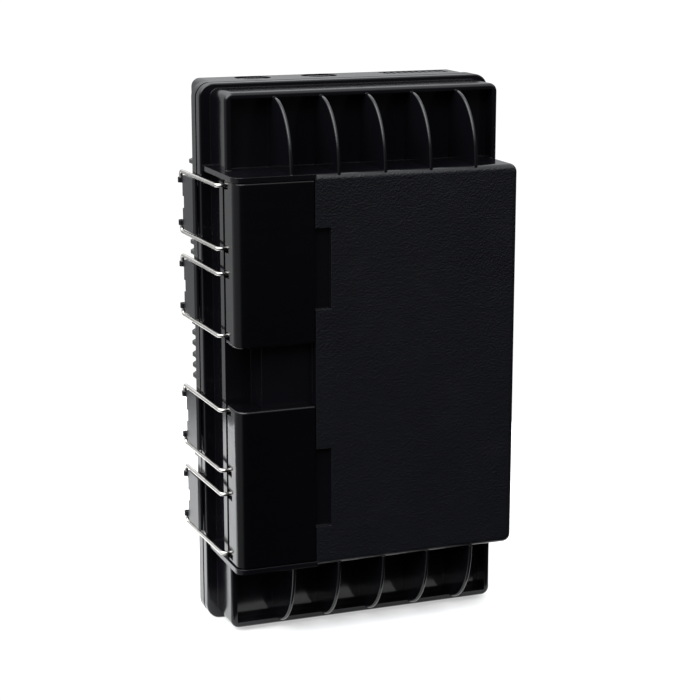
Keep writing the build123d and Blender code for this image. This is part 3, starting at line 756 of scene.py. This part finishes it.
class AddScrews(Step):
    """Set pan-head screws in the mounting plate and the cable clamps"""

    bl_idname = "enclosure.add_screws"
    bl_label = "Screws"

    def build(self, scene):
        sizes = scene.enclosure_fittings
        steel = metal("screw_steel", (0.66, 0.66, 0.64), 0.24, along=(3, 1, 3))
        recipe = on_points()
        low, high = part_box("plate_screws")
        head = sizes.plate_head
        plate = [
            (x, low.y + HEAD_SEAT, z)
            for x in (low.x + head, high.x - head)
            for z in (low.z + head, high.z - head)
        ]
        clamps = []
        clamp_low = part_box("clamp_screws")[0]
        for node in ("left_cable_clamp", "right_cable_clamp"):
            one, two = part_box(node)
            middle = (one + two) / 2
            for reach in (CLAMP_REACH, -CLAMP_REACH):
                clamps.append((middle.x + reach, clamp_low.y + HEAD_SEAT, middle.z))
        for name, places, radius, shank, length, seed in (
            ("plate_screws_detailed", plate, head, PLATE_SHANK, PLATE_LENGTH, 3),
            ("clamp_screws_detailed", clamps, sizes.clamp_head, CLAMP_SHANK, CLAMP_LENGTH, 8),
        ):
            template = new_object(name + "_template", screw_mesh(name, radius, shank, length))
            recipe.make(
                name,
                points_mesh(name + "_places", places),
                "shell",
                "screw_steel",
                [name.replace("_detailed", "")],
                Template=template,
                Axis=(0, 1, 0),
                Spin=math.pi,
                Seed=seed,
                Finish=steel,
            )
            bpy.data.objects.remove(template)


def screw_mesh(name, radius, shank, length):
    """Pan head with a cross recess and a plain shank with a tapered end, along Y."""
    height = HEAD_HEIGHT
    profile = [
        (0, -length),
        (shank * 0.7, -length),
        (shank, -length + 0.8 * MM),
        (shank, 0),
        (radius * 0.96, 0),
        (radius, 0.3 * MM),
        (radius * 0.97, height * 0.55),
        (radius * 0.85, height * 0.85),
        (radius * 0.6, height),
        (0, height),
    ]
    body = new_object(name + "_body", lathe(name + "_body", profile, HEAD_STEPS))
    cutters = []
    for wide, tall in ((radius * 1.1, RECESS_WIDTH), (RECESS_WIDTH, radius * 1.1)):
        bm = bmesh.new()
        scaled = Matrix.Diagonal((wide, RECESS_DEPTH, tall, 1))
        bmesh.ops.create_cube(bm, size=1.0, matrix=Matrix.Translation((0, -height, 0)) @ scaled)
        cutters.append(new_object(name + "_cutter", new_mesh(name + "_cutter", bm)))
    for cutter in cutters:
        cut = body.modifiers.new("recess", "BOOLEAN")
        cut.operation, cut.solver, cut.object = "DIFFERENCE", "EXACT", cutter
    bpy.context.view_layer.update()
    graph = bpy.context.evaluated_depsgraph_get()
    mesh = bpy.data.meshes.new_from_object(body.evaluated_get(graph))
    for spare in (body, *cutters):
        bpy.data.objects.remove(spare)
    return mesh


class AddInserts(Step):
    """Set knurled brass inserts in the back wall, and finish the ground stud"""

    bl_idname = "enclosure.add_inserts"
    bl_label = "Wall inserts"

    def build(self, scene):
        brass = metal("insert_brass", (0.72, 0.53, 0.25), 0.2, along=(2, 2, 2))
        give(["ground_stud", "ground_nut"], brass)
        low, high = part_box("wall_inserts")
        outer, bore = INSERT_OUTER, INSERT_BORE
        long = high.y - low.y
        profile = [(bore, -long), (outer - 0.4 * MM, -long), (outer, -long + 0.8 * MM)]
        profile += [(outer - step, -long * (1 - band)) for band, step in INSERT_BANDS]
        profile += [(outer, -0.8 * MM), (outer - 0.3 * MM, 0)]
        profile += [(bore + 0.3 * MM, 0), (bore, -0.4 * MM)]
        mesh = lathe("insert", profile, KNURL_STEPS, flute=KNURL_DEPTH)
        template = new_object("insert_template", mesh)
        places = [
            (x, low.y, z)
            for x in (low.x + INSERT_EDGE, high.x - INSERT_EDGE)
            for z in (low.z + INSERT_EDGE, high.z - INSERT_EDGE)
        ]
        on_points().make(
            "wall_inserts_knurled",
            points_mesh("insert_places", places),
            "shell",
            "insert_brass",
            ["wall_inserts"],
            Template=template,
            Axis=(0, 1, 0),
            Spin=0.6,
            Seed=5,
            Finish=brass,
        )
        bpy.data.objects.remove(template)


class FinishInside(Step):
    """Finish the plate, the clamps, the swinging trays and the adapter panel"""

    bl_idname = "enclosure.finish_inside"
    bl_label = "Inside parts"

    def build(self, scene):
        plate = zinc("plate_zinc", (0.66, 0.67, 0.66))
        give(["mounting_plate", "tray_bracket", "adapter_panel"], plate)
        grey = moulded("clamp_grey", (0.22, 0.23, 0.24), 0.42, depth=0.02 * MM)
        give(["left_cable_clamp", "right_cable_clamp"], grey)
        white = moulded("tray_white", (0.76, 0.76, 0.73), 0.38, depth=0.02 * MM)
        give(numbered("splice_tray", 3), white)
        give(numbered("splice_holder", 3), rubber("holder_grey", (0.4, 0.41, 0.42), 0.55))
        give(["tray_lid"], clear_sheet("lid_clear", (0.85, 0.9, 0.93)))
        green = moulded("adapter_green", (0.04, 0.4, 0.18), 0.28, depth=0.006 * MM)
        give(["fibre_adapters"], green)


class AddSleeves(Step):
    """Lay splice sleeves in the trays' holders and push ribbed caps on the adapters"""

    bl_idname = "enclosure.add_sleeves"
    bl_label = "Sleeves and caps"

    def build(self, scene):
        sizes = scene.enclosure_fittings
        white = moulded("cap_white", (0.72, 0.72, 0.69), 0.4, depth=0.01 * MM)
        row = in_row()
        radius, half = sizes.sleeve_radius, sizes.sleeve_length / 2
        profile = [(0, -half), (radius * 0.6, -half), (radius, -half + SLEEVE_END)]
        profile += [(radius, half - SLEEVE_END), (radius * 0.6, half), (0, half)]
        template = new_object("sleeve_template", lathe("sleeve", profile, SLEEVE_STEPS, axis="Z"))
        for tray in range(1, 4):
            low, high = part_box(f"splice_holder_{tray}")
            first = (low.x + high.x) / 2 - SLEEVE_FIRST
            start = (first, high.y - SLEEVE_LIFT - radius, MID_Z)
            row.make(
                f"splice_sleeves_{tray}",
                points_mesh("sleeve_base", [start]),
                f"tray_{tray}",
                "cap_white",
                Template=template,
                Count=sizes.sleeves,
                Pitch=SLEEVE_PITCH,
                Start=start,
                Finish=white,
            )
        bpy.data.objects.remove(template)
        low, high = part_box("adapter_dust_caps")
        half_x, half_y = CAP_HALF_WIDTH * MM, (high.y - low.y) / 2
        tall = high.z - low.z
        levels = [(0, 0.9), (0.6 * MM, 0.1)]
        for rib in range(CAP_RIBS):
            base = (CAP_RIB_START + CAP_RIB_PITCH * rib) * MM
            levels += [(base + lift * MM, inset) for lift, inset in CAP_RIB_PROFILE]
        levels += [(tall - 0.5 * MM, 0.4), (tall, 0.8)]
        sections = [(level, half_x - inset * MM, half_y - inset * MM) for level, inset in levels]
        template = new_object("cap_template", rounded_stack("cap", sections, CAP_CORNER * MM))
        start = (low.x + half_x, (low.y + high.y) / 2, low.z)
        count = round((high.x - low.x - 2 * half_x) / sizes.cap_pitch) + 1
        row.make(
            "dust_caps_ribbed",
            points_mesh("cap_base", [start]),
            "shell",
            "cap_white",
            ["adapter_dust_caps"],
            Template=template,
            Count=count,
            Pitch=sizes.cap_pitch,
            Start=start,
            Finish=white,
        )
        bpy.data.objects.remove(template)


class SetStage(Step):
    """Set the floor, the light and the camera"""

    bl_idname = "enclosure.set_stage"
    bl_label = "Stage"

    def build(self, scene):
        sizes = scene.enclosure_stage
        scene.view_settings.view_transform = "Standard"
        scene.view_settings.look = "None"
        self.floor()
        self.world(scene, sizes.glow)
        light = bpy.data.lights.new("overhead_softbox", "AREA")
        light.shape, light.size, light.size_y = "RECTANGLE", LAMP_SIZE, LAMP_SIZE
        light.energy = LAMP_POWER
        lamp = new_object("overhead_softbox", light)
        lamp.location = LAMP_PLACE
        lamp.rotation_euler = (LAMP_TILT, 0, 0)
        camera = bpy.data.cameras.new("camera")
        camera.lens, camera.sensor_width = sizes.lens, SENSOR_WIDTH
        camera.clip_start, camera.clip_end = 0.05, 100
        eye = new_object("camera", camera)
        flat = math.cos(sizes.elevation)
        back = Vector(
            (
                math.sin(sizes.azimuth) * flat,
                -math.cos(sizes.azimuth) * flat,
                math.sin(sizes.elevation),
            )
        )
        eye.location = Vector(sizes.target) + back * sizes.distance
        eye.rotation_mode = "QUATERNION"
        eye.rotation_quaternion = (-back).to_track_quat("-Z", "Y")
        scene.camera = eye

    def floor(self):
        """A pale disc that carries the enclosure and lights its lower edges."""
        bm = bmesh.new()
        bmesh.ops.create_circle(
            bm,
            cap_ends=True,
            radius=FLOOR_RADIUS,
            segments=FLOOR_STEPS,
            matrix=Matrix.Translation(FLOOR_CENTRE),
        )
        floor = new_object("pale_floor", new_mesh("pale_floor", bm))
        for face in floor.data.polygons:
            if face.normal.z < 0:
                face.flip()
        f = Finish("pale_floor")
        fine = f.noise(30 * MM, detail=4)
        floor.data.materials.append(
            f.surface(
                Base_Color=f.blend(fine, (0.52, 0.52, 0.52), (0.56, 0.56, 0.56)),
                Roughness=0.9,
                Emission_Color=(1, 1, 1, 1),
                Emission_Strength=FLOOR_GLOW,
            )
        )

    def world(self, scene, glow):
        """A room lit from the left, behind and above; the camera itself sees plain white."""
        world = bpy.data.worlds.new("studio")
        scene.world = world
        world.use_nodes = True
        tree = world.node_tree
        tree.nodes.clear()
        way = add_node(tree, "ShaderNodeTexCoord").outputs["Generated"]
        parts = add_node(tree, "ShaderNodeSeparateXYZ", inputs={0: way})
        x, y, z = (Value(tree, s) for s in parts.outputs)
        side = (y * 0.66 - x * 0.75).ramp(-0.12, 0.42)
        above = z.ramp(0.22, 0.62) * ABOVE_GLOW
        softbox = (z * 0.84 - x * 0.45 - y * 0.3).ramp(0.72, 0.95) * SOFTBOX_GLOW
        front = z.ramp(-0.35, 0.35) * FRONT_GLOW + LEAST_GLOW
        strength = (side * SIDE_GLOW + above + softbox + front) * glow
        seen = add_node(tree, "ShaderNodeLightPath").outputs["Is Camera Ray"]
        lit = add_node(tree, "ShaderNodeBackground", inputs={"Strength": strength})
        lit.inputs["Color"].default_value = ROOM_TINT
        white = {"Color": (1, 1, 1, 1), "Strength": BACKDROP_GLOW}
        plain = add_node(tree, "ShaderNodeBackground", inputs=white)
        sides = {0: seen, 1: lit.outputs[0], 2: plain.outputs[0]}
        mix = add_node(tree, "ShaderNodeMixShader", inputs=sides)
        add_node(tree, "ShaderNodeOutputWorld", inputs={0: mix.outputs[0]})


STEPS = (
    FinishShells,
    FinishGuards,
    FinishLatches,
    FinishSeals,
    FinishInside,
    AddScrews,
    AddInserts,
    AddSleeves,
    SetStage,
)


class EnclosurePanel(bpy.types.Panel):
    """Lists the building steps in the 3D view's sidebar"""

    bl_idname = "VIEW3D_PT_enclosure"
    bl_label = "Splice enclosure"
    bl_space_type = "VIEW_3D"
    bl_region_type = "UI"
    bl_category = "Enclosure"

    def draw(self, context):
        for step in STEPS:
            self.layout.operator(step.bl_idname, text=step.bl_label)
        for group in ("enclosure_finishes", "enclosure_fittings", "enclosure_stage"):
            values = getattr(context.scene, group)
            box = self.layout.box()
            for name in values.__annotations__:
                box.prop(values, name)


GROUPS = {
    "enclosure_finishes": EnclosureFinishes,
    "enclosure_fittings": EnclosureFittings,
    "enclosure_stage": EnclosureStage,
}


def register():
    for one in (*GROUPS.values(), *STEPS, EnclosurePanel):
        bpy.utils.register_class(one)
    for name, group in GROUPS.items():
        setattr(bpy.types.Scene, name, bpy.props.PointerProperty(type=group))


def unregister():
    for name in GROUPS:
        delattr(bpy.types.Scene, name)
    for one in reversed((*GROUPS.values(), *STEPS, EnclosurePanel)):
        bpy.utils.unregister_class(one)


def main():
    register()
    for step in STEPS:
        space, name = step.bl_idname.split(".")
        getattr(getattr(bpy.ops, space), name)()


if __name__ == "__main__":
    main()
